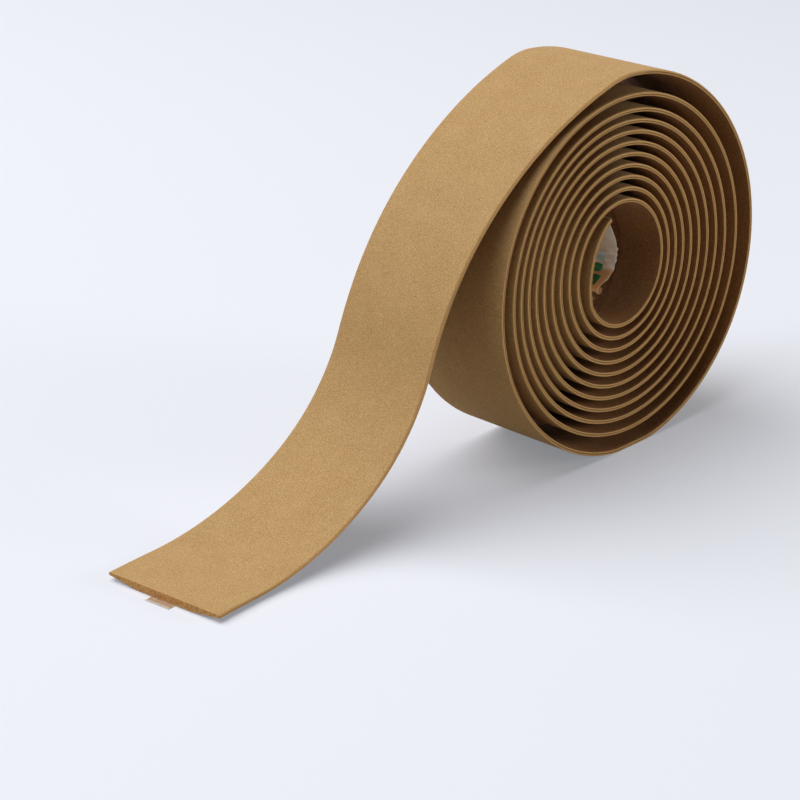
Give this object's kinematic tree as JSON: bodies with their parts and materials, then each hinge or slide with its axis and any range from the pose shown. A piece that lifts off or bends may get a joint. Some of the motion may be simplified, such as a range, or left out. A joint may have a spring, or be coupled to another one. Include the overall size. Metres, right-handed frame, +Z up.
{
  "type": "handlebar tape roll",
  "caption": "Roll of padded handlebar tape with an open eye, its outer end pulled out and lying flat, with a release film on the sticky under side.",
  "frame": {"origin": "on the table, under the middle of the box that holds the roll and its tail", "axes": "+Z up, Y along the coil's axis, -X towards the free end of the tail"},
  "size_m": [0.1702, 0.0358, 0.0889],
  "materials": {
    "tape": "fine matt grain",
    "film": "thin translucent satin film"
  },
  "bodies": {
    "root": {"tape": "tape", "release_film": "film"}
  },
  "joints": []
}
